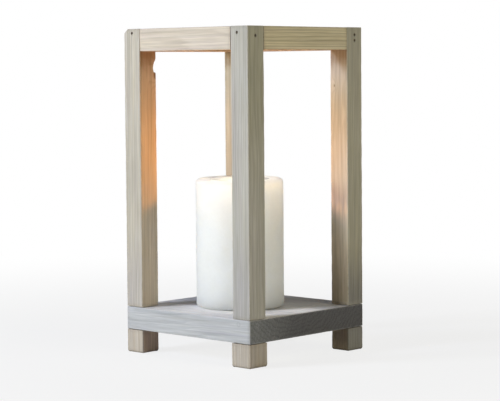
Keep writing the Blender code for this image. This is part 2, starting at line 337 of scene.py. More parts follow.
def figure_group():
    """Growth rings round a pith that runs along Z, fibres, slow blotches, and a knot that parts the rings."""
    inputs = {
        "Vector": "Vector",
        "Ring Spacing": 0.002,
        "Sway": 0.002,
        "Knot Centre": (9.0, 9.0, 9.0),
        "Knot Size": 0.004,
    }
    masks = ("Latewood", "Fibre", "Streak", "Blotch", "Knot")
    w, given, out = new_group("timber_figure", inputs, dict.fromkeys(masks, "Float"))
    place = given["Vector"]
    drift = w.noise(w.stretched(place, (28.0, 28.0, 9.0)), 1.0, output="Color")
    drift = w.vector("SUBTRACT", drift, (0.5, 0.5, 0.5))
    drift = w.vector("SCALE", drift, scale=w.times(given["Sway"], 4.0))
    swayed = w.stretched(w.vector("ADD", place, drift), (1.0, 1.0, 0.0))
    from_knot = w.vector("SUBTRACT", place, given["Knot Centre"])
    knot_far = w.vector("LENGTH", w.stretched(from_knot, (1.0, 1.0, 0.62)))
    knot_far = w.math("DIVIDE", knot_far, given["Knot Size"])
    bulge = w.math("EXPONENT", w.times(w.times(knot_far, knot_far), -0.22))
    bulge = w.times(bulge, w.times(given["Knot Size"], 2.6))
    radius = w.math("ADD", w.vector("LENGTH", swayed), bulge)
    phase = w.math("DIVIDE", radius, given["Ring Spacing"])
    uneven = w.noise(w.stretched(place, (150.0, 150.0, 5.0)), 1.0, 1.0)
    phase = w.math("MULTIPLY_ADD", uneven, 1.6, phase)
    turn = w.math("FRACT", phase)
    w.feed(out["Latewood"], w.times(w.ramp(turn, 0.4, 0.88), w.ramp(turn, 0.92, 1.0, 1.0, 0.0)))
    w.feed(out["Fibre"], w.noise(w.stretched(place, (1500.0, 1500.0, 34.0)), 1.0, 2.0, 0.6))
    w.feed(out["Streak"], w.noise(w.stretched(place, (520.0, 520.0, 7.0)), 1.0))
    w.feed(out["Blotch"], w.noise(w.stretched(place, (55.0, 55.0, 15.0)), 1.0, 3.0, 0.55))
    w.feed(out["Knot"], w.ramp(knot_far, 0.75, 1.15, 1.0, 0.0))
    return w.tree


def weather_group():
    """Greys the soft wood and leaves a pale bloom in the pores."""
    inputs = {"Color": "Color", "Vector": "Vector", "Fibre": 0.5, "Latewood": 0.0, "Amount": 0.3}
    w, given, out = new_group("weathering", inputs, {"Color": "Color"})
    patches = w.ramp(w.noise(given["Vector"], 38.0, 4.0, 0.6), 0.36, 0.66)
    pores = w.ramp(given["Fibre"], 0.42, 0.62)
    soft = w.math("SUBTRACT", 1.0, w.times(given["Latewood"], 0.6))
    mask = w.times(w.math("MULTIPLY_ADD", patches, 0.6, 0.4), w.times(pores, soft))
    luma = w.node("RGBToBW", {0: given["Color"]}).outputs[0]
    grey = w.vector("SCALE", (1.08, 1.08, 1.12), scale=luma)
    w.feed(out["Color"], w.mix(w.times(mask, given["Amount"]), given["Color"], grey))
    return w.tree


def wear_group():
    """Rubbed arrises: the edge mask broken up by a fine noise, with paler bare wood under it."""
    inputs = {"Color": "Color", "Vector": "Vector", "Edge": 0.0, "Bare Wood": "Color", "Amount": 0.6}
    w, given, out = new_group("worn_edges", inputs, {"Color": "Color"})
    broken = w.ramp(w.noise(given["Vector"], 210.0, 3.0, 0.65), 0.3, 0.62)
    mask = w.times(given["Edge"], w.math("MULTIPLY_ADD", broken, 0.75, 0.25))
    w.feed(out["Color"], w.mix(w.times(mask, given["Amount"]), given["Color"], given["Bare Wood"]))
    return w.tree


def stain_group():
    """Black iron stain that has crept into the wood round a nail, further along the grain than across it."""
    inputs = {"Vector": "Vector", "Centre": (0.0, 0.0, 0.0), "Radius": 0.003}
    w, given, out = new_group("nail_stain", inputs, {"Mask": "Float"})
    away = w.stretched(w.vector("SUBTRACT", given["Vector"], given["Centre"]), (1.0, 1.0, 0.55))
    ragged = w.noise(w.stretched(given["Vector"], (900.0, 900.0, 120.0)), 1.0)
    reach = w.math("DIVIDE", w.vector("LENGTH", away), given["Radius"])
    reach = w.math("ADD", reach, w.math("MULTIPLY_ADD", ragged, 0.9, -0.45))
    w.feed(out["Mask"], w.ramp(reach, 0.45, 1.15, 1.0, 0.0))
    return w.tree


def end_group():
    """Where a sawn end faces out, and the checks and saw marks that show on it."""
    inputs = {"Vector": "Vector", "Normal": "Vector", "Grain": UP}
    masks = ("Mask", "Speckle", "Sawn")
    w, given, out = new_group("end_grain", inputs, dict.fromkeys(masks, "Float"))
    facing = w.math("ABSOLUTE", w.vector("DOT_PRODUCT", given["Normal"], given["Grain"]))
    w.feed(out["Mask"], w.ramp(facing, 0.55, 0.8))
    w.feed(out["Speckle"], w.noise(given["Vector"], 1300.0, 3.0, 0.7))
    saw = w.vector("DOT_PRODUCT", given["Vector"], (260.0, 620.0, 0.0))
    w.feed(out["Sawn"], w.noise(w.node("CombineXYZ", {0: saw}).outputs[0], 1.0, 3.0, 0.6))
    return w.tree


def flame_glow_and_shade_group():
    """Wood that the flame has browned: on faces that look towards it, near it and up under the rails."""
    inputs = {
        "Color": "Color",
        "Vector": "Vector",
        "Normal": "Vector",
        "Flame": (0.0, 0.0, 0.16),
        "Reach": 0.14,
        "Amount": 0.25,
        "Ceiling": 0.24,
    }
    w, given, out = new_group("candle_tan_glow_and_shade", inputs, {"Color": "Color"})
    towards = w.vector("SUBTRACT", given["Flame"], given["Vector"])
    away = w.vector("LENGTH", towards)
    facing = w.vector("DOT_PRODUCT", w.vector("NORMALIZE", towards), given["Normal"])
    near = w.ramp(away, w.times(given["Reach"], 0.35), given["Reach"], 1.0, 0.0)
    height = w.part(given["Vector"], "Z")
    above = w.ramp(w.math("SUBTRACT", height, w.part(given["Flame"], "Z")), -0.06, -0.015)
    clouds = w.ramp(w.noise(given["Vector"], 70.0, 3.0), 0.3, 0.7, 0.75, 1.0)
    mask = w.times(w.times(near, w.ramp(facing, 0.12, 0.4)), w.times(above, clouds))
    # Painted glow: an orange tint where the flame's light falls, which also browns the wood
    browned_and_glow = w.tint(w.times(mask, given["Amount"]), given["Color"], FLAME_BROWN_AND_GLOW)
    # Painted shade: darker, browner wood just under the rails, on faces that look towards the flame
    ragged = w.math("MULTIPLY_ADD", w.noise(given["Vector"], 120.0, 3.0), 0.012, height)
    under = w.ramp(w.math("SUBTRACT", given["Ceiling"], ragged), -0.006, 0.014, 1.0, 0.0)
    under = w.times(under, w.ramp(facing, 0.1, 0.3))
    w.feed(out["Color"], w.tint(under, browned_and_glow, UNDER_RAIL_SHADE))
    return w.tree


def tarnish_group():
    """Blotches of dulled or rusted metal."""
    inputs = {"Vector": "Vector", "Scale": 900.0, "Amount": 0.5}
    w, given, out = new_group("tarnish", inputs, {"Mask": "Float", "Grit": "Float"})
    cloud = w.noise(given["Vector"], given["Scale"], 4.0, 0.6)
    edge = w.math("SUBTRACT", 0.85, w.times(given["Amount"], 0.6))
    w.feed(out["Mask"], w.ramp(cloud, w.math("SUBTRACT", edge, 0.2), edge))
    w.feed(out["Grit"], w.noise(given["Vector"], w.times(given["Scale"], 4.0)))
    return w.tree


GROUP_MAKERS = {
    "timber_figure": figure_group,
    "weathering": weather_group,
    "worn_edges": wear_group,
    "nail_stain": stain_group,
    "end_grain": end_group,
    "candle_tan_glow_and_shade": flame_glow_and_shade_group,
    "tarnish": tarnish_group,
}


def placed_group(w, name, **inputs):
    """The named group in this material, made the first time it is asked for. A _ stands for a space."""
    tree = bpy.data.node_groups.get(name) or GROUP_MAKERS[name]()
    inputs = {label.replace("_", " "): value for label, value in inputs.items()}
    return w.node("Group", inputs, node_tree=tree).outputs


def new_material(name, **fixed):
    """A material, its wiring and its Principled shader, with the fixed values on the shader's own sockets."""
    material = bpy.data.materials.new(name)
    material.use_nodes = True
    shader = material.node_tree.nodes["Principled BSDF"]
    for label, value in fixed.items():
        shader.inputs[label.replace("_", " ")].default_value = value
    return material, Wiring(material.node_tree), shader


def tinted(colour, tint):
    return tuple(min(1.0, part * strength) for part, strength in zip(colour, tint))


def timber_material(
    name,
    look,
    grain,
    middle,
    pith,
    tilt=(0.0, 0.0),
    knot=None,
    stains=(),
    seed=0.0,
    touch=None,
    tint=WHITE,
    depth=0.5,
):
    """Softwood with its grain along the X, Y or Z axis. pith is where the tree's heart lies from the stick's
    middle, across the grain; tilt leans the heart, which draws out the rings. touch adds a piece's own
    marks, tint is how the stick differs from its fellows, and depth is how dark its latewood shows."""
    pale, dark, end = (tinted(colour, tint) for colour in (look.pale, look.dark, look.end))
    material, w, shader = new_material(name, IOR=1.45, Specular_IOR_Level=0.3)
    surface, normal = w.coordinates(), w.coordinates("Normal")
    turned = TURNED[grain](middle)
    shift = Vector((-turned.x - pith[0], -turned.y - pith[1], -turned.z + seed))
    turn = w.node("Mapping", {"Vector": surface, "Rotation": TURN_TO_Z[grain]}).outputs[0]
    lean = w.node("Mapping", {"Vector": turn, "Location": shift, "Rotation": (*tilt, 0.0)})
    place = lean.outputs[0]

    def seen_from_heart(point):
        leaned = Matrix.Rotation(tilt[1], 3, "Y") @ Matrix.Rotation(tilt[0], 3, "X") @ TURNED[grain](point)
        return leaned + shift

    at_knot = {"Knot_Centre": seen_from_heart(knot[0]), "Knot_Size": knot[1]} if knot else {}
    figure = placed_group(w, "timber_figure", Vector=place, Ring_Spacing=look.ring, Sway=look.sway, **at_knot)
    late, fibre = figure["Latewood"], figure["Fibre"]
    axis = tuple(1.0 if AXES[grain] == i else 0.0 for i in range(3))
    ends = placed_group(w, "end_grain", Vector=place, Normal=normal, Grain=axis)

    colour = w.mix(w.times(late, depth), pale, dark)
    fibres = w.ramp(fibre, 0.25, 0.75, 0.86, 1.09, "LINEAR")
    streaks = w.ramp(figure["Streak"], 0.3, 0.7, 0.88, 1.08, "LINEAR")
    blotches = w.ramp(figure["Blotch"], 0.3, 0.7, 0.93, 1.06, "LINEAR")
    colour = w.vector("SCALE", colour, scale=w.times(w.times(fibres, streaks), blotches))
    hue = w.noise(w.stretched(place, (300.0, 300.0, 9.0)), 1.0)
    colour = w.tint(w.ramp(hue, 0.5, 0.75, 0.0, 0.4), colour, WARM_STREAK)
    colour = w.tint(w.ramp(hue, 0.25, 0.5, 0.6, 0.0), colour, COOL_STREAK)
    weathered = placed_group(
        w, "weathering", Color=colour, Vector=surface, Fibre=fibre, Latewood=late, Amount=look.wash
    )
    colour = weathered["Color"]
    colour = w.mix(w.times(figure["Knot"], 0.8), colour, tinted(dark, KNOT_WOOD))

    end_colour = w.mix(late, end, tinted(end, LATE_END))
    end_colour = w.mix(w.ramp(ends["Sawn"], 0.5, 0.72, 0.0, 0.6), end_colour, tinted(end, SAW_MARK))
    end_colour = w.vector("SCALE", end_colour, scale=w.ramp(ends["Speckle"], 0.3, 0.7, 0.72, 1.25, "LINEAR"))
    colour = w.mix(ends["Mask"], colour, end_colour)
    if touch:
        colour = touch(w, colour, surface)
    # The flame's glow and the shade under the rails are painted in here, with heat browning
    tan_glow_and_shade = placed_group(
        w, "candle_tan_glow_and_shade", Color=colour, Vector=surface, Normal=normal, Flame=FLAME, Ceiling=UNDER_RAILS
    )
    colour = tan_glow_and_shade["Color"]
    edge = w.node("Attribute", attribute_name="edge").outputs["Fac"]
    bare = opaque(tinted(pale, RUBBED_BARE))
    worn = placed_group(w, "worn_edges", Color=colour, Vector=surface, Edge=edge, Bare_Wood=bare, Amount=0.55)
    seam = w.node("Attribute", attribute_name="seam").outputs["Fac"]
    colour = w.tint(w.times(seam, 0.4), worn["Color"], SEAM_DIRT)
    for centre, radius in stains:
        stain = placed_group(w, "nail_stain", Vector=place, Centre=seen_from_heart(centre), Radius=radius)
        colour = w.mix(w.times(stain["Mask"], 0.22), colour, IRON_STAIN)
    w.feed(shader.inputs["Base Color"], colour)

    rough = w.ramp(fibre, 0.2, 0.8, 0.62, 0.84, "LINEAR")
    w.feed(shader.inputs["Roughness"], w.math("SUBTRACT", rough, w.times(figure["Knot"], 0.2)))
    hills = w.math("ADD", w.times(fibre, 0.45), w.times(late, 0.4))
    pits = w.times(w.times(ends["Mask"], ends["Speckle"]), 0.8)
    w.feed(shader.inputs["Normal"], w.bump(w.math("SUBTRACT", hills, pits), 0.5, 0.00035))
    return material


# ---------------------------------------------------------------- meshes


def mesh_object(name, bm, materials=(), smooth=True, sharp=40.0):
    """The bmesh as a new object at the origin. It frees the bmesh."""
    mesh = bpy.data.meshes.new(name)
    bm.to_mesh(mesh)
    bm.free()
    obj = bpy.data.objects.new(name, mesh)
    bpy.context.scene.collection.objects.link(obj)
    for material in materials:
        mesh.materials.append(material)
    if smooth:
        mesh.shade_smooth()
        mesh.set_sharp_from_angle(angle=math.radians(sharp))
    return obj


def turned_bmesh(profile, steps, middle=(0.0, 0.0, 0.0), closed=False):
    """A shape turned about a vertical line through middle. The profile's points are (radius, height)."""
    bm = bmesh.new()
    points = [bm.verts.new((radius, 0.0, height)) for radius, height in profile]
    edges = [bm.edges.new(pair) for pair in zip(points, points[1:])]
    if closed:
        edges.append(bm.edges.new((points[-1], points[0])))
    bmesh.ops.spin(
        bm,
        geom=points + edges,
        cent=(0.0, 0.0, 0.0),
        axis=UP,
        angle=2 * math.pi,
        steps=steps,
        use_merge=True,
        use_duplicate=False,
    )
    bmesh.ops.remove_doubles(bm, verts=bm.verts, dist=1e-6)
    bmesh.ops.recalc_face_normals(bm, faces=bm.faces)
    bmesh.ops.translate(bm, vec=Vector(middle), verts=bm.verts)
    return bm


def arc(radius, height, size, start, end, steps):
    """Points on a round of a turned profile, from one angle to another in degrees, 0 pointing outwards."""
    points = []
    for step in range(steps + 1):
        angle = math.radians(start + (end - start) * step / steps)
        points.append((radius + size * math.cos(angle), height + size * math.sin(angle)))
    return points


def fastener_line(node):
    """Where a brad's or screw's head is, the way it points, its length and its head's width."""
    low, high, middle = box_of(node)
    size = high - low
    axis = max(range(3), key=lambda i: size[i])
    head = middle.copy()
    way = Vector((0.0, 0.0, 0.0))
    outward = -1.0 if axis == 2 else math.copysign(1.0, middle[axis])
    head[axis] = high[axis] if outward > 0 else low[axis]
    way[axis] = -outward
    return head, way, size[axis], size[(axis + 1) % 3]


def hole_bmesh(node):
    """The hole that a brad or screw sits in, as a solid to cut with."""
    head, way, long, wide = fastener_line(node)
    mouth = 0.004
    if node.startswith("brad"):
        shank, thick, under = 0.0006, 0.0008, 0.0008
    else:
        shank, thick, under = 0.002, 0.0004, 0.0028
    profile = [
        (0.0, long + FIT),
        (shank + FIT, long + FIT),
        (shank + FIT, under + FIT),
        (wide / 2 + FIT, thick + FIT),
        (wide / 2 + FIT, -mouth),
        (0.0, -mouth),
    ]
    bm = turned_bmesh(profile, 24)
    turn = Vector(UP).rotation_difference(way).to_matrix().to_4x4()
    bmesh.ops.transform(bm, matrix=Matrix.Translation(head) @ turn, verts=bm.verts)
    return bm


def fasteners_through(node):
    """The brads and screws whose solids cross this piece's box."""
    low, high, _ = box_of(node)
    found = []
    for name in BRADS + SCREWS:
        other_low, other_high, _ = box_of(name)
        if all(other_low[i] < high[i] and other_high[i] > low[i] for i in range(3)):
            found.append(name)
    return found


def cut_away(obj, cutters):
    """Takes the cutters' solids out of the object's mesh, and removes the cutters."""
    for bm in cutters:
        tool = mesh_object("cutter", bm, smooth=False)
        boolean = obj.modifiers.new("cut", "BOOLEAN")
        boolean.operation = "DIFFERENCE"
        boolean.solver = "EXACT"
        boolean.object = tool
        graph = bpy.context.evaluated_depsgraph_get()
        cut = bpy.data.meshes.new_from_object(obj.evaluated_get(graph))
        obj.modifiers.clear()
        worn_out = obj.data
        cut.name = worn_out.name
        obj.data = cut
        bpy.data.meshes.remove(worn_out)
        bpy.data.objects.remove(tool)


def smoothstep(value, low, high):
    part = min(1.0, max(0.0, (value - low) / (high - low)))
    return part * part * (3 - 2 * part)


def slice_up(bm, low, high, axis, step):
    """Cuts the faces into even strips across one axis, so that the surface can take relief."""
    count = max(1, round((high[axis] - low[axis]) / step))
    normal = Vector([1.0 if i == axis else 0.0 for i in range(3)])
    for index in range(1, count):
        point = low.copy()
        point[axis] = low[axis] + (high[axis] - low[axis]) * index / count
        geometry = bm.verts[:] + bm.edges[:] + bm.faces[:]
        bmesh.ops.bisect_plane(bm, geom=geometry, dist=1e-7, plane_co=point, plane_no=normal)


def level(edge, corner, axis):
    """Whether the edge lies in the plane through the corner, square to the axis."""
    return all(abs(vert.co[axis] - corner[axis]) < 1e-6 for vert in edge.verts)


def ease(bm, edges, width, steps):
    bmesh.ops.bevel(
        bm,
        geom=edges,
        offset=width,
        offset_type="OFFSET",
        affect="EDGES",
        segments=steps,
        profile=0.5,
        material=-1,
    )


def stick_bmesh(low, high, grain, look, seed, cross=0.0011, along=0.0034, heel=0.0, tight=0.0002):
    """A sawn stick: bevelled arrises, strips along the grain, and relief that only ever goes inwards."""
    bm = bmesh.new()
    bmesh.ops.create_cube(bm, size=1.0)
    bmesh.ops.scale(bm, vec=high - low, verts=bm.verts)
    bmesh.ops.translate(bm, vec=(low + high) / 2, verts=bm.verts)
    grain_axis = AXES[grain]
    across = [edge for edge in bm.edges if level(edge, low, grain_axis) or level(edge, high, grain_axis)]
    ease(bm, [edge for edge in bm.edges if edge not in across], look.arris, 3)
    ease(bm, [edge for edge in bm.edges if level(edge, low, grain_axis)], heel or tight, 5 if heel else 2)
    ease(bm, [edge for edge in bm.edges if level(edge, high, grain_axis)], tight, 2)
    for axis in range(3):
        slice_up(bm, low, high, axis, along if axis == grain_axis else cross)
    weather_surface(bm, low, high, grain_axis, look, seed)
    return bm


def edge_nearness(point, low, high):
    """How near the second-nearest pair of faces is: 0 on an arris, growing over the flats."""
    gaps = sorted(min(point[i] - low[i], high[i] - point[i]) for i in range(3))
    return gaps[1]


def weather_surface(bm, low, high, grain_axis, look, seed):
    """Draws the stick's skin inwards: grooves along the grain, slow hollows, and arrises worn more in some
    places. The shift depends only on the place and fades with depth, so the skin never folds over itself."""
    deepest, fades_by, end_share = 0.0006, 0.0035, 0.25
    for vert in bm.verts:
        place = vert.co - low
        across = Vector([place[i] * (42.0 if i == grain_axis else 520.0) for i in range(3)])
        slow = Vector([place[i] * (9.0 if i == grain_axis else 60.0) for i in range(3)])
        groove = 0.5 + 0.5 * noise.noise(across + Vector((seed, 0.0, 0.0)))
        hollow = 0.5 + 0.5 * noise.noise(slow + Vector((0.0, seed, 0.0)))
        near = 1.0 - smoothstep(edge_nearness(vert.co, low, high), 0.0, 0.0016)
        knocks = noise.noise(vert.co * 140.0 + Vector((0.0, 0.0, seed)))
        rub = near * (0.35 + 0.9 * max(0.0, knocks))
        shift = min(look.relief * (0.6 * groove + 0.5 * hollow) + 0.00025 * rub, deepest)
        for axis in range(3):
            below, above = place[axis], high[axis] - vert.co[axis]
            depth = 1.0 - smoothstep(min(below, above), 0.0, fades_by)
            share_here = end_share if axis == grain_axis else 1.0
            vert.co[axis] += math.copysign(shift * depth * share_here, above - below)


def mark_surface(obj, low, high, grain_axis):
    """Stores where the arrises are, and where the piece meets its neighbours at its ends."""
    mesh = obj.data
    edge = mesh.attributes.new("edge", "FLOAT", "POINT")
    seam = mesh.attributes.new("seam", "FLOAT", "POINT")
    for vert in mesh.vertices:
        inside = edge_nearness(vert.co, low, high)
        edge.data[vert.index].value = 1.0 - smoothstep(inside, 0.0002, 0.0013)
        gap = min(vert.co[grain_axis] - low[grain_axis], high[grain_axis] - vert.co[grain_axis])
        seam.data[vert.index].value = 1.0 - smoothstep(gap, 0.0, 0.003)


def timber_piece(node, look, grain, slot, material, seed, cutters=(), meets=(), **shape):
    """A wooden piece in the place of its solid: shaped, drilled for its fasteners, marked and finished.
    meets says at which ends, -1 and 1, it closes up to the piece that it is fixed to."""
    low, high, _ = box_of(node)
    for end in meets:
        (low if end < 0 else high)[AXES[grain]] += end * FIT
    bm = stick_bmesh(low, high, grain, look, seed, **shape)
    obj = mesh_object(node + "_timber", bm, smooth=False)
    cut_away(obj, list(cutters) + [hole_bmesh(name) for name in fasteners_through(node)])
    mark_surface(obj, low, high, AXES[grain])
    obj.data.materials.clear()
    obj.data.materials.append(material)
    obj.data.shade_smooth()
    obj.data.set_sharp_from_angle(angle=math.radians(38.0))
    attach(obj, "frame")
    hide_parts(node)


def stains_on(node, radius=0.0014):
    """The stain centres of the fasteners whose heads show on this piece."""
    low, high, _ = box_of(node)
    found = []
    for name in fasteners_through(node):
        head = fastener_line(name)[0]
        if name.startswith("brad") and all(low[i] - 1e-4 < head[i] < high[i] + 1e-4 for i in range(3)):
            found.append((head, radius))
    return found


# ---------------------------------------------------------------- pieces


class LANTERN_OT_posts(bpy.types.Operator):
    """Builds the four posts, with the bite and the knocked corner of the front left one"""

    bl_idname = "lantern.posts"
    bl_label = "Posts"

    def execute(self, context):
        look = context.scene.lantern.post
        hearts = {
            "front_left": ((0.031, 0.024), (0.004, -0.008), 0.31, (1.05, 1.02, 1.02)),
            "front_right": ((-0.044, 0.028), (-0.006, 0.005), 1.27, (0.955, 0.97, 1.03)),
            "back_right": ((0.019, 0.036), (0.009, 0.004), 2.43, (0.99, 1.02, 1.05)),
            "back_left": ((-0.033, -0.041), (0.005, 0.007), 3.71, (0.90, 0.925, 0.89)),
        }
        for corner in CORNERS:
            node = "post_" + corner
            low, high, middle = box_of(node)
            pith, tilt, seed, tint = hearts[corner]
            knot = touch = None
            cutters = []
            if corner == "front_left":
                below_top, knot_size = 0.0293, 0.0032
                bite = Vector((high.x, high.y, high.z - below_top))
                knot = (bite + Vector((-0.0008, 0.0, -0.0060)), knot_size)
                cutters = [bite_bmesh(bite), knock_bmesh(Vector((low.x, low.y, high.z)))]
                # The front left post gets painted warm shade on its right-facing side
                touch = splashed_and_painted_warm_side
            elif corner == "back_right":
                pin_knot_size = 0.0013
                knot = (Vector((low.x + 0.0045, low.y - 0.001, 0.211)), pin_knot_size)
                # The back right post gets painted shade low down and on its right side, and a painted band of
                # warm light
                touch = painted_shade_and_glow_low
            elif corner == "front_right":
                # The front right post gets painted shade on its right-facing side
                touch = splashed_and_painted_yellow_top
            material = timber_material(
                "post_wood_" + corner, look, "Z", middle, pith, tilt, knot, stains_on(node), seed, touch, tint
            )
            timber_piece(node, look, "Z", "post_wood", material, seed * 10, cutters, meets=(-1,))
        return {"FINISHED"}


def splashed(w, colour, place):
    """Greyer wood low on the front, where rain splashes up from the plank."""
    wet = w.times(w.ramp(w.part(place, "Z"), 0.055, 0.105, 1.0, 0.0), w.facing(FORWARD))
    return w.tint(wet, colour, SPLASHED)


def splashed_and_painted_warm_side(w, colour, place):
    """The side that faces right, away from the sun, has kept more of the wood's own colour."""
    # Painted shade: a warm tint on the side that faces right
    return w.tint(w.facing(RIGHT), splashed(w, colour, place), PAINTED_SHADE_WARMTH)


def splashed_and_painted_yellow_top(w, colour, place):
    """The side that faces right has yellowed towards its top."""
    # Painted shade: a yellower, darker tint on the right-facing side towards its top
    painted_yellow = w.times(w.ramp(w.part(place, "Z"), 0.1, 0.22), w.facing(RIGHT))
    return w.tint(painted_yellow, splashed(w, colour, place), PAINTED_SHADE_YELLOW)


def painted_shade_and_glow_low(w, colour, place):
    """Wood browned low down where water has stood, under a paler tide mark, and a grimy outer side."""
    forward, outer = w.facing(FORWARD, 0.3, 0.8), w.facing(RIGHT)
    ragged = w.noise(w.stretched(place, (260.0, 260.0, 30.0)), 1.0, 3.0)
    ragged = w.math("MULTIPLY_ADD", ragged, 0.03, w.part(place, "Z"))
    # Painted shade: darker, browner wood low down, where the candle's shadow falls
    low_shade = w.times(w.ramp(ragged, 0.06, 0.12, 1.0, 0.0), w.ramp(forward, 0.0, 1.0, 0.25, 1.0))
    colour = w.tint(low_shade, colour, PAINTED_LOW_SHADE)
    # Painted light: a paler, warmer band for the candle's glow, ending where its rim cuts the glow off
    glow_band = w.times(w.ramp(ragged, 0.06, 0.11), w.ramp(ragged, 0.125, 0.138, 1.0, 0.0))
    colour = w.tint(w.times(glow_band, forward), colour, PAINTED_GLOW_BAND)
    # Painted shade: the side that faces right is darker
    colour = w.tint(outer, colour, PAINTED_SIDE_SHADE)
    # Darker and bluer low down on the side that faces right
    low_side_darkening = w.times(w.ramp(ragged, 0.055, 0.105, 1.0, 0.0), outer)
    return w.tint(low_side_darkening, colour, LOW_SIDE_DARKENING)


def bite_bmesh(centre):
    """The lump of a lost knot, to cut out of a post's inner edge."""
    bm = bmesh.new()
    bmesh.ops.create_icosphere(bm, subdivisions=4, radius=1.0)
    reach, tall = 0.0040, 0.0056
    for vert in bm.verts:
        lump = 1.0 + 0.16 * noise.noise(vert.co * 2.1) + 0.05 * noise.noise(vert.co * 6.0)
        wide = reach * (0.86 - 0.3 * vert.co.z)
        vert.co = Vector((vert.co.x * wide, vert.co.y * wide, vert.co.z * tall)) * lump
    bmesh.ops.translate(bm, vec=centre, verts=bm.verts)
    return bm


def knock_bmesh(corner):
    """A torn block whose lower face takes the post's outer top corner away."""
    outward = Vector((-1.0, -1.0, 0.0)).normalized()
    normal = (outward * 0.0042 + Vector((0.0, 0.0, 0.0034))).normalized()
    depth = (outward * 0.0034).dot(normal)
    side = 0.02
    bm = bmesh.new()
    bmesh.ops.create_cube(bm, size=side)
    bmesh.ops.subdivide_edges(bm, edges=bm.edges[:], cuts=23, use_grid_fill=True)
    for vert in bm.verts:
        torn = noise.noise(Vector((vert.co.x * 700.0, vert.co.y * 180.0, 0.0)))
        vert.co.z += 0.00022 * torn + 0.0003 * noise.noise(vert.co * 160.0)
    turn = Vector(UP).rotation_difference(normal).to_matrix().to_4x4()
    place = Matrix.Translation(corner + normal * (side / 2 - depth)) @ turn
    bmesh.ops.transform(bm, matrix=place, verts=bm.verts)
    return bm


class LANTERN_OT_rails(bpy.types.Operator):
    """Builds the four top rails between the posts"""

    bl_idname = "lantern.rails"
    bl_label = "Rails"

    def execute(self, context):
        look = context.scene.lantern.rail
        hearts = {
            "front": ("X", (0.012, 0.034), (0.012, 0.016), 0.57, (1.015, 1.005, 1.11), 0.3),
            "back": ("X", (-0.022, 0.027), (0.006, -0.01), 1.93, WHITE, 0.6),
            "left": ("Y", (0.036, 0.016), (-0.008, 0.011), 2.61, WHITE, 0.6),
            "right": ("Y", (0.006, 0.052), (0.004, 0.003), 3.37, (0.97, 0.965, 0.89), 0.8),
        }
        for side in SIDES:
            node = "rail_" + side
            middle = box_of(node)[2]
            grain, pith, tilt, seed, tint, depth = hearts[side]
            material = timber_material(
                "rail_wood_" + side, look, grain, middle, pith, tilt, seed=seed, tint=tint, depth=depth
            )
            timber_piece(node, look, grain, "rail_wood", material, seed * 10, meets=(-1, 1))
        return {"FINISHED"}


class LANTERN_OT_plank(bpy.types.Operator):
    """Builds the plank, with its grain from side to side and its sawn ends to the left and right"""

    bl_idname = "lantern.plank"
    bl_label = "Plank"

    def execute(self, context):
        look = context.scene.lantern.plank
        node = "base_board"
        low, high, middle = box_of(node)
        marks = (
            Vector((high.x - 0.0119, low.y, high.z - 0.0036)),
            Vector((high.x, low.y + 0.0083, high.z - 0.0041)),
        )

        def touch(w, colour, place):
            """Knot rings by the front corner, a rain-paled sawn end, and bleached front and right edges."""
            for mark in marks:
                away = w.vector("DISTANCE", place, mark)
                ring = w.times(w.ramp(away, 0.0009, 0.0014), w.ramp(away, 0.0017, 0.0023, 1.0, 0.0))
                colour = w.mix(w.times(ring, 0.25), colour, KNOT_RING)
            side = w.part(place, "X")
            cloud = w.math("MULTIPLY_ADD", w.noise(place, 90.0, 3.0), 0.02, w.part(place, "Y"))
            # The sawn end that faces right is paler towards the front
            paler_to_front = w.ramp(cloud, low.y + 0.008, low.y + 0.068, 1.0, 0.0)
            paler_to_front = w.times(paler_to_front, w.facing(RIGHT))
            colour = w.tint(paler_to_front, colour, END_PALER_TO_FRONT)
            front = w.ramp(cloud, low.y + 0.045, low.y + 0.075, 1.0, 0.0)
            front = w.times(front, w.ramp(side, low.x + 0.015, low.x + 0.07, 0.45, 1.0))
            from_right = w.math("MULTIPLY_ADD", w.noise(place, 70.0, 3.0), -0.012, side)
            right = w.ramp(from_right, high.x - 0.04, high.x - 0.02)
            right = w.times(right, w.ramp(cloud, low.y + 0.075, low.y + 0.115, 1.0, 0.0))
            # Painted light: the lit part of the top, near its front and right edges
            painted_light = w.times(w.math("MAXIMUM", front, right), w.facing(UP))
            return w.tint(painted_light, colour, PAINTED_KEY_LIGHT)

        material = timber_material(
            "plank_wood", look, "X", middle, (-0.052, -0.018), (0.018, 0.028), seed=0.83, touch=touch
        )
        shape = {"cross": 0.0014, "along": 0.0036, "tight": look.arris}
        timber_piece(node, look, "X", "base_wood", material, 8.3, **shape)
        return {"FINISHED"}


class LANTERN_OT_feet(bpy.types.Operator):
    """Builds the four feet, worn round at the bottom"""

    bl_idname = "lantern.feet"
    bl_label = "Feet"

    def execute(self, context):
        look = context.scene.lantern.foot
        hearts = {
            "front_left": ((0.027, 0.03), 0.45, WHITE),
            "front_right": ((-0.036, 0.021), 1.15, WHITE),
            # The back right foot's tint is painted shade: it stands in the plank's shadow
            "back_right": ((0.022, -0.031), 2.05, (0.58, 0.64, 0.72)),
            "back_left": ((-0.02, 0.035), 2.95, (0.9, 0.9, 0.9)),
        }
        for corner in CORNERS:
            node = "foot_" + corner
            middle = box_of(node)[2]
            pith, seed, tint = hearts[corner]
            # Each foot's touch paints shade on its faces turned in under the plank
            finish = {"seed": seed, "touch": inner_painted_shade, "tint": tint}
            name = "foot_wood_" + corner
            material = timber_material(name, look, "Z", middle, pith, (0.01, 0.008), **finish)
            shape = {"heel": look.heel, "along": 0.0018}
            timber_piece(node, look, "Z", "foot_wood", material, seed * 10, meets=(1,), **shape)
        return {"FINISHED"}


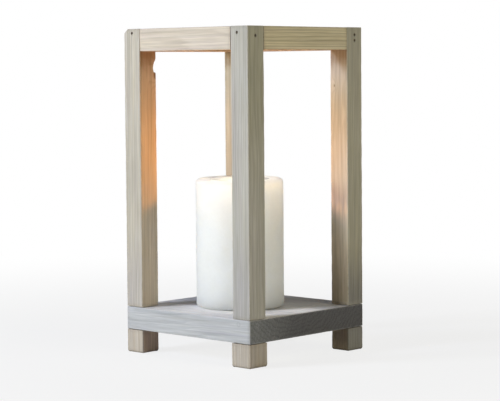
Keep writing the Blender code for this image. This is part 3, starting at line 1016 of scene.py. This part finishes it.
def inner_painted_shade(w, colour, place):
    """Browner wood on the faces under the plank, which the sun never bleaches."""
    flat = w.vector("NORMALIZE", w.stretched(place, (1.0, 1.0, 0.0)))
    return w.tint(w.facing(flat, -0.3, -0.6), colour, UNDER_PLANK_SHADE)


class LANTERN_OT_metal(bpy.types.Operator):
    """Finishes the brads, the corner screws and the wick's tab"""

    bl_idname = "lantern.metal"
    bl_label = "Metal"

    def execute(self, context):
        look = context.scene.lantern.metal
        steel = metal_material("brad_steel", look.brad, look.rust, 1100.0, 0.55, 0.45, 0.75)
        zinc = metal_material("screw_steel", look.zinc, look.rust, 700.0, 0.3, 0.28, 0.6)
        tin = metal_material("tab_tin", look.tin, (0.35, 0.34, 0.32), 300.0, 0.35, 0.25, 0.5)
        for name in BRADS:
            dress(name, steel)
        for name in SCREWS:
            dress(name, zinc)
        dress("wick_tab", tin)
        return {"FINISHED"}


def dress(node, material):
    """Gives a carried-over solid its finish."""
    slots = frame["nodes"][node].data.materials
    slots.clear()
    slots.append(material)


def metal_material(name, colour, dull, scale, amount, smooth, rough):
    """Metal with blotches of another colour, which are rougher and less metallic."""
    material, w, shader = new_material(name)
    place = w.coordinates()
    tarnish = placed_group(w, "tarnish", Vector=place, Scale=scale, Amount=amount)
    w.feed(shader.inputs["Base Color"], w.mix(tarnish["Mask"], colour, dull))
    w.feed(shader.inputs["Roughness"], w.ramp(tarnish["Mask"], 0.0, 1.0, smooth, rough, "LINEAR"))
    w.feed(shader.inputs["Metallic"], w.ramp(tarnish["Mask"], 0.0, 1.0, 1.0, 0.35, "LINEAR"))
    w.feed(shader.inputs["Normal"], w.bump(tarnish["Grit"], 0.3, 0.0001))
    return material


class LANTERN_OT_candle(bpy.types.Operator):
    """Builds the pillar of wax, with its slumped rim and melted pool"""

    bl_idname = "lantern.candle"
    bl_label = "Candle"
    far_side = Vector((-0.69, 0.72, 0.0))

    def execute(self, context):
        look = context.scene.lantern.candle
        low, high, middle = box_of("candle_wax")
        tall = high.z - low.z
        radius = (high.x - low.x) / 2
        profile = self.profile(look, radius, tall)
        foot = Vector((middle.x, middle.y, low.z))
        bm = turned_bmesh(profile, context.scene.lantern.stage.turns, foot, closed=True)
        self.soften(bm, look, foot, radius, tall)
        obj = mesh_object("candle_pillar", bm, [wax_material(look, middle, high.z)], sharp=60.0)
        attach(obj, "candle")
        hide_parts("candle_wax")
        return {"FINISHED"}

    def profile(self, look, radius, tall):
        """Down the outside, round the seat of the tab, up the wick's hole and out over the pool."""
        tab_low, tab_high, _ = box_of("wick_tab")
        seat = (tab_high.x - tab_low.x) / 2 + FIT
        bore, neck, neck_top, sole = 0.0012, 0.0028, 0.0057, 0.0012
        rows, heel_rows, bore_rows, pool_rows, rim_rows = 36, 8, 10, 18, 4
        points = arc(radius - look.shoulder, tall - look.shoulder, look.shoulder, 90, 0, 8)
        side_top = tall - look.shoulder
        for step in range(1, rows):
            points.append((radius, side_top + (look.heel - side_top) * step / rows))
        points += arc(radius - look.heel, look.heel, look.heel, 0, -90, 6)
        for step in range(1, heel_rows):
            points.append((radius - look.heel + (seat + look.heel - radius) * step / heel_rows, 0.0))
        points += [(seat, 0.0), (seat, sole), (neck, sole), (neck, neck_top), (bore, neck_top)]
        bottom = tall - look.pool
        for step in range(1, bore_rows):
            points.append((bore, neck_top + (bottom - neck_top) * step / bore_rows))
        pool = radius - look.rim
        for step in range(pool_rows + 1):
            part = step / pool_rows
            height = tall - look.pool * (1 + math.cos(math.pi * part)) / 2
            points.append((bore + (pool - bore) * part, height))
        for step in range(1, rim_rows):
            part = step / rim_rows
            points.append((pool + (radius - look.shoulder - pool) * part, tall))
        return points

    def soften(self, bm, look, foot, radius, tall):
        """The rim sags unevenly, the sides undulate a little and the heel is rubbed."""
        wick_hole = 0.0035
        for vert in bm.verts:
            place = vert.co - foot
            out = math.hypot(place.x, place.y)
            if out < wick_hole:
                continue
            ring = Vector((place.x, place.y, 0.0)) / max(out, 1e-9)
            high_up = smoothstep(place.z, tall * 0.9, tall)
            sag = 0.5 + 0.5 * noise.noise(ring * 1.1 + Vector((3.1, 0.7, 0.0)))
            ripple = 0.5 + 0.5 * noise.noise(ring * 3.2 + Vector((0.0, 0.0, 5.2)))
            near = 0.5 - 0.5 * ring.dot(self.far_side)
            drop = (look.slump * (0.8 * sag + 0.2 * ripple) + look.lean * near) * high_up
            drop *= smoothstep(out, 0.0, radius * 0.7)
            side = smoothstep(out, radius * 0.93, radius)
            wave = 0.5 + 0.5 * noise.noise(Vector((ring.x * 1.6, ring.y * 1.6, place.z * 34.0)))
            fine = 0.5 + 0.5 * noise.noise(Vector((ring.x * 7.0, ring.y * 7.0, place.z * 160.0)))
            inward = side * (0.00032 * wave + 0.00008 * fine)
            heel = side * (1.0 - smoothstep(place.z, 0.0, 0.004)) * 0.0005
            heel *= max(0.0, noise.noise(ring * 4.0 + Vector((8.0, 1.0, 0.0))))
            vert.co.z -= drop
            vert.co.x -= ring.x * (inward + heel)
            vert.co.y -= ring.y * (inward + heel)


def wax_material(look, middle, top):
    """Milky wax with faint clouds, warmer near its top and glassy where it has melted."""
    material, w, shader = new_material(
        "wax", Subsurface_Weight=1.0, Subsurface_Radius=(1.0, 0.95, 0.85), Subsurface_Scale=0.07, IOR=1.44
    )
    place = w.coordinates()
    height = w.part(place, "Z")
    cloud = w.noise(place, 55.0, 4.0, 0.55)
    fine = w.noise(place, 420.0, 3.0, 0.6)
    tint = w.mix(w.ramp(cloud, 0.35, 0.65), look.wax, tinted(look.wax, (0.98, 0.977, 0.968)))
    # Painted glow: warmer wax towards the top, for the flame's light
    tint = w.mix(w.ramp(height, top - 0.012, top, 0.0, 0.5), tint, (0.93, 0.91, 0.86))
    tint = w.vector("SCALE", tint, scale=w.ramp(fine, 0.3, 0.7, 0.985, 1.012, "LINEAR"))
    w.feed(shader.inputs["Base Color"], tint)
    from_wick = w.vector("DISTANCE", place, (middle.x, middle.y, top))
    glassy = w.ramp(from_wick, 0.02, 0.03, 0.35, 1.0)
    w.feed(shader.inputs["Roughness"], w.times(w.ramp(cloud, 0.3, 0.7, 0.42, 0.55, "LINEAR"), glassy))
    w.feed(shader.inputs["Normal"], w.bump(fine, 0.12, 0.0002))
    return material


class LANTERN_OT_wick(bpy.types.Operator):
    """Builds the twisted cotton wick, clean in the wax and burnt at its tip"""

    bl_idname = "lantern.wick"
    bl_label = "Wick"

    def execute(self, context):
        look = context.scene.lantern.candle
        low, high, _ = box_of("wick")
        _, wax_top, _ = box_of("candle_wax")
        pool = wax_top.z - look.pool
        radius, sides, twist_rate = 0.001, 24, 900.0
        rows_down, rows_up, tip_rows = 24, 28, 5
        start = Vector((low.x + radius, (low.y + high.y) / 2, low.z))
        lean = (high.x - radius - start.x) * 0.95
        stands = (high.z - 0.0003 - pool) * 0.97
        path = [(0.0, start.z + (pool - start.z) * step / rows_down) for step in range(rows_down + 1)]
        for step in range(1, rows_up + 1):
            part = step / rows_up
            path.append((lean * part**2, pool + stands * math.sin(part * math.pi / 2)))
        bm = bmesh.new()
        ring = bmesh.ops.create_circle(bm, segments=sides, radius=radius, cap_ends=False)["verts"]
        for index, vert in enumerate(ring):
            vert.co *= self.lobe(index / sides)
        bmesh.ops.translate(bm, vec=(start.x, start.y, path[0][1]), verts=ring)
        edges = first_edges = bm.edges[:]
        here = Vector((start.x, start.y, path[0][1]))
        facing = Vector(UP)
        for index in range(1, len(path)):
            there = Vector((start.x + path[index][0], start.y, path[index][1]))
            ahead = (there - here).normalized()
            made = bmesh.ops.extrude_edge_only(bm, edges=edges)["geom"]
            ring = [item for item in made if isinstance(item, bmesh.types.BMVert)]
            edges = [item for item in made if isinstance(item, bmesh.types.BMEdge)]
            bmesh.ops.translate(bm, vec=there - here, verts=ring)
            twist = Matrix.Rotation((there - here).length * twist_rate, 3, ahead)
            turn = twist @ facing.rotation_difference(ahead).to_matrix()
            bmesh.ops.rotate(bm, cent=there, matrix=turn, verts=ring)
            if index > len(path) - tip_rows:
                shrink = 0.9 - 0.1 * (index - len(path) + tip_rows)
                for vert in ring:
                    vert.co = there + (vert.co - there) * shrink
            here, facing = there, ahead
        bmesh.ops.contextual_create(bm, geom=first_edges)
        bmesh.ops.contextual_create(bm, geom=edges)
        bmesh.ops.recalc_face_normals(bm, faces=bm.faces)
        obj = mesh_object("wick_cord", bm, [wick_material(look, pool)], sharp=70.0)
        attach(obj, "candle")
        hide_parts("wick")
        return {"FINISHED"}

    def lobe(self, around):
        """Three strands seen end on."""
        return 0.84 + 0.16 * abs(math.cos(3 * math.pi * around))


def wick_material(look, pool):
    """Cotton that is charred from just above the pool."""
    material, w, shader = new_material("wick_cotton", Sheen_Weight=0.25)
    place = w.coordinates()
    height = w.part(place, "Z")
    fuzz = w.noise(place, 3800.0, 3.0, 0.7)
    charred = w.ramp(w.math("MULTIPLY_ADD", fuzz, 0.002, height), pool - 0.001, pool + 0.003)
    cotton = w.mix(fuzz, look.cotton, tinted(look.cotton, (0.72, 0.72, 0.72)))
    soot = w.mix(w.ramp(fuzz, 0.45, 0.7), look.soot, (0.06, 0.05, 0.045))
    w.feed(shader.inputs["Base Color"], w.mix(charred, cotton, soot))
    w.feed(shader.inputs["Roughness"], w.ramp(fuzz, 0.2, 0.8, 0.8, 0.98, "LINEAR"))
    w.feed(shader.inputs["Normal"], w.bump(fuzz, 0.7, 0.0002))
    return material


class LANTERN_OT_stage(bpy.types.Operator):
    """Sets out the floor, the surroundings, the lights, the flame and the camera"""

    bl_idname = "lantern.stage"
    bl_label = "Stage"

    def execute(self, context):
        look = context.scene.lantern.stage
        self.floor(look)
        self.world(look)
        self.lights(look)
        self.flame()
        self.camera(look)
        context.scene.view_settings.view_transform = "Standard"
        return {"FINISHED"}

    def floor(self, look):
        """A wide pale disc that fades to white before its edge."""
        bm = bmesh.new()
        bmesh.ops.create_circle(bm, cap_ends=True, segments=96, radius=6.0)
        material, w, shader = new_material("floor_paper", Roughness=0.9, Specular_IOR_Level=0.1)
        place = w.coordinates()
        tooth = w.noise(place, 900.0, 2.0)
        pale = tinted(look.floor, (0.985, 0.985, 0.985))
        w.feed(shader.inputs["Base Color"], w.mix(tooth, look.floor, pale))
        white = w.node("Emission", {"Color": (1.0, 1.0, 1.0, 1.0), "Strength": 1.0})
        far = w.ramp(w.vector("LENGTH", place), 0.15, 0.8, 0.8, 1.0)
        seen = w.node("LightPath").outputs["Is Camera Ray"]
        fade = w.node("MixShader", {0: w.times(far, seen)})
        w.feed(fade.inputs[1], shader.outputs[0])
        w.feed(fade.inputs[2], white.outputs[0])
        w.show(fade)
        mesh_object("floor", bm, [material], smooth=False)

    def world(self, look):
        """White to the camera, and a dim light on the lantern from all round."""
        world = bpy.data.worlds.new("surroundings")
        bpy.context.scene.world = world
        world.use_nodes = True
        w = Wiring(world.node_tree)
        seen = w.node("LightPath").outputs["Is Camera Ray"]
        background = world.node_tree.nodes["Background"]
        w.feed(background.inputs["Color"], w.mix(seen, look.world, (1.0, 1.0, 1.0)))

    def lights(self, look):
        """A window in front on the left, cool above and warm below, fill, a rear light and the flame."""
        self.panel("window_high", -25.4, 30.0, (0.5, 0.6), look.key, (0.75, 0.83, 1.12))
        self.panel("window_low", -25.4, 8.0, (0.5, 0.5), look.key, (0.87, 0.88, 0.64))
        self.panel("fill_light", 95.0, 20.0, (1.2, 1.2), look.fill, (0.67, 0.64, 0.48))
        self.panel("rear_light", 205.0, 30.0, (1.5, 1.2), look.rear, (1.0, 1.0, 1.0))
        self.flame_light("candle_light", (0.62, 0.23, 0.012), look.glow, on_wax=False)
        self.flame_light("wax_light", (1.0, 0.84, 0.62), look.wax_glow, on_wax=True)

    def light(self, name, kind, power, colour, place):
        """A lamp of this kind at this place, with its light's settings."""
        light = bpy.data.lights.new(name, kind)
        light.energy = power
        light.color = colour
        lamp = bpy.data.objects.new(name, light)
        bpy.context.scene.collection.objects.link(lamp)
        lamp.location = place
        return lamp, light

    def flame_light(self, name, colour, power, on_wax):
        """The flame's light on the wax, or on everything else, which is further off and browner."""
        lamp, light = self.light(name, "POINT", power, colour, FLAME)
        light.shadow_soft_size = 0.0045
        lit = bpy.data.collections.new("lit_by_" + name)
        for obj in bpy.context.scene.objects:
            if obj.type == "MESH" and (obj.name == "candle_pillar") == on_wax:
                lit.objects.link(obj)
        lamp.light_linking.receiver_collection = lit
        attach(lamp, "candle")

    def panel(self, name, bearing, rise, size, power, colour):
        """A soft light aimed at the lantern's middle from afar. The angles are in degrees, from the front."""
        middle, away = Vector((0.0, 0.0, 0.13)), 2.0
        round_z = Matrix.Rotation(math.radians(bearing), 3, "Z")
        way = round_z @ Matrix.Rotation(math.radians(-rise), 3, "X") @ Vector(FORWARD)
        lamp, light = self.light(name, "AREA", power, colour, middle + way * away)
        light.shape = "RECTANGLE"
        light.size, light.size_y = size
        lamp.rotation_euler = (-way).to_track_quat("-Z", "Y").to_euler()
        lamp.visible_camera = False

    def flame(self):
        """The flame, which isn't part of the lantern and only rises with its candle."""
        tall, wide = 0.022, 0.0033
        base = WICK_TIP - Vector((0.0, 0.0, 0.0032))
        profile = []
        for step in range(25):
            part = step / 24
            profile.append((max(0.0, wide * math.sin(math.pi * part**0.62) ** 0.9), tall * part))
        bm = turned_bmesh(profile, 32, base)
        material, w, _ = new_material("flame")
        place = w.coordinates()
        height = w.part(place, "Z")
        rise = w.ramp(height, base.z, base.z + 0.011)
        colour = w.mix(rise, (0.25, 0.3, 0.9), (1.0, 0.62, 0.2))
        fire = w.node("Emission", {"Color": colour, "Strength": w.ramp(rise, 0.0, 1.0, 0.4, 7.0)})
        clear = w.node("BsdfTransparent")
        edge = w.node("LayerWeight", {"Blend": 0.35}).outputs["Facing"]
        body = w.times(w.ramp(edge, 0.1, 0.9, 1.0, 0.0), w.ramp(rise, 0.0, 1.0, 0.15, 0.95))
        fade = w.node("MixShader", {0: body})
        seen = w.node("LightPath").outputs["Is Camera Ray"]
        w.feed(fade.inputs[1], clear.outputs[0])
        w.feed(fade.inputs[2], fire.outputs[0])
        only_seen = w.node("MixShader", {0: seen})
        w.feed(only_seen.inputs[1], clear.outputs[0])
        w.feed(only_seen.inputs[2], fade.outputs[0])
        w.show(only_seen)
        obj = mesh_object("flame", bm, [material], sharp=80.0)
        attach(obj, "candle")

    def camera(self, look):
        """Level with the lantern's upper part, at its front right corner, a little way off."""
        data = bpy.data.cameras.new("camera")
        data.lens = look.lens
        data.sensor_width = 36.0
        data.shift_y = -0.06
        data.clip_start = 0.05
        data.clip_end = 50.0
        camera = bpy.data.objects.new("camera", data)
        bpy.context.scene.collection.objects.link(camera)
        camera.location = (look.reach * math.sin(look.side), -look.reach * math.cos(look.side), look.height)
        off_middle, pitch, roll = (math.radians(angle) for angle in (-0.193, -3.251, -0.456))
        bearing = look.side + off_middle
        aim = Matrix.Rotation(bearing, 4, "Z") @ Matrix.Rotation(math.pi / 2 + pitch, 4, "X")
        camera.rotation_euler = (aim @ Matrix.Rotation(roll, 4, "Z")).to_euler()
        bpy.context.scene.camera = camera


class LANTERN_PT_panel(bpy.types.Panel):
    """Lists the lantern's pieces and their settings"""

    bl_idname = "LANTERN_PT_panel"
    bl_label = "Candle lantern"
    bl_space_type = "VIEW_3D"
    bl_region_type = "UI"
    bl_category = "Lantern"

    def draw(self, context):
        settings = context.scene.lantern
        for operator, group in STEPS:
            box = self.layout.box()
            box.operator(operator.bl_idname)
            for name in getattr(settings, group).__annotations__:
                box.prop(getattr(settings, group), name)


STEPS = (
    (LANTERN_OT_posts, "post"),
    (LANTERN_OT_rails, "rail"),
    (LANTERN_OT_plank, "plank"),
    (LANTERN_OT_feet, "foot"),
    (LANTERN_OT_metal, "metal"),
    (LANTERN_OT_candle, "candle"),
    (LANTERN_OT_wick, "candle"),
    (LANTERN_OT_stage, "stage"),
)
TIMBER_SETTINGS = (PostSettings, RailSettings, PlankSettings, FootSettings)
SETTINGS = (*TIMBER_SETTINGS, CandleSettings, MetalSettings, StageSettings, LanternSettings)
CLASSES = (*SETTINGS, *(operator for operator, _ in STEPS), LANTERN_PT_panel)


def register():
    for item in CLASSES:
        bpy.utils.register_class(item)
    bpy.types.Scene.lantern = PointerProperty(
        type=LanternSettings, name="Lantern", description="The lantern's settings"
    )


def unregister():
    del bpy.types.Scene.lantern
    for item in reversed(CLASSES):
        bpy.utils.unregister_class(item)


def main():
    register()
    bpy.ops.lantern.posts()
    bpy.ops.lantern.rails()
    bpy.ops.lantern.plank()
    bpy.ops.lantern.feet()
    bpy.ops.lantern.metal()
    bpy.ops.lantern.candle()
    bpy.ops.lantern.wick()
    bpy.ops.lantern.stage()


if __name__ == "__main__":
    main()
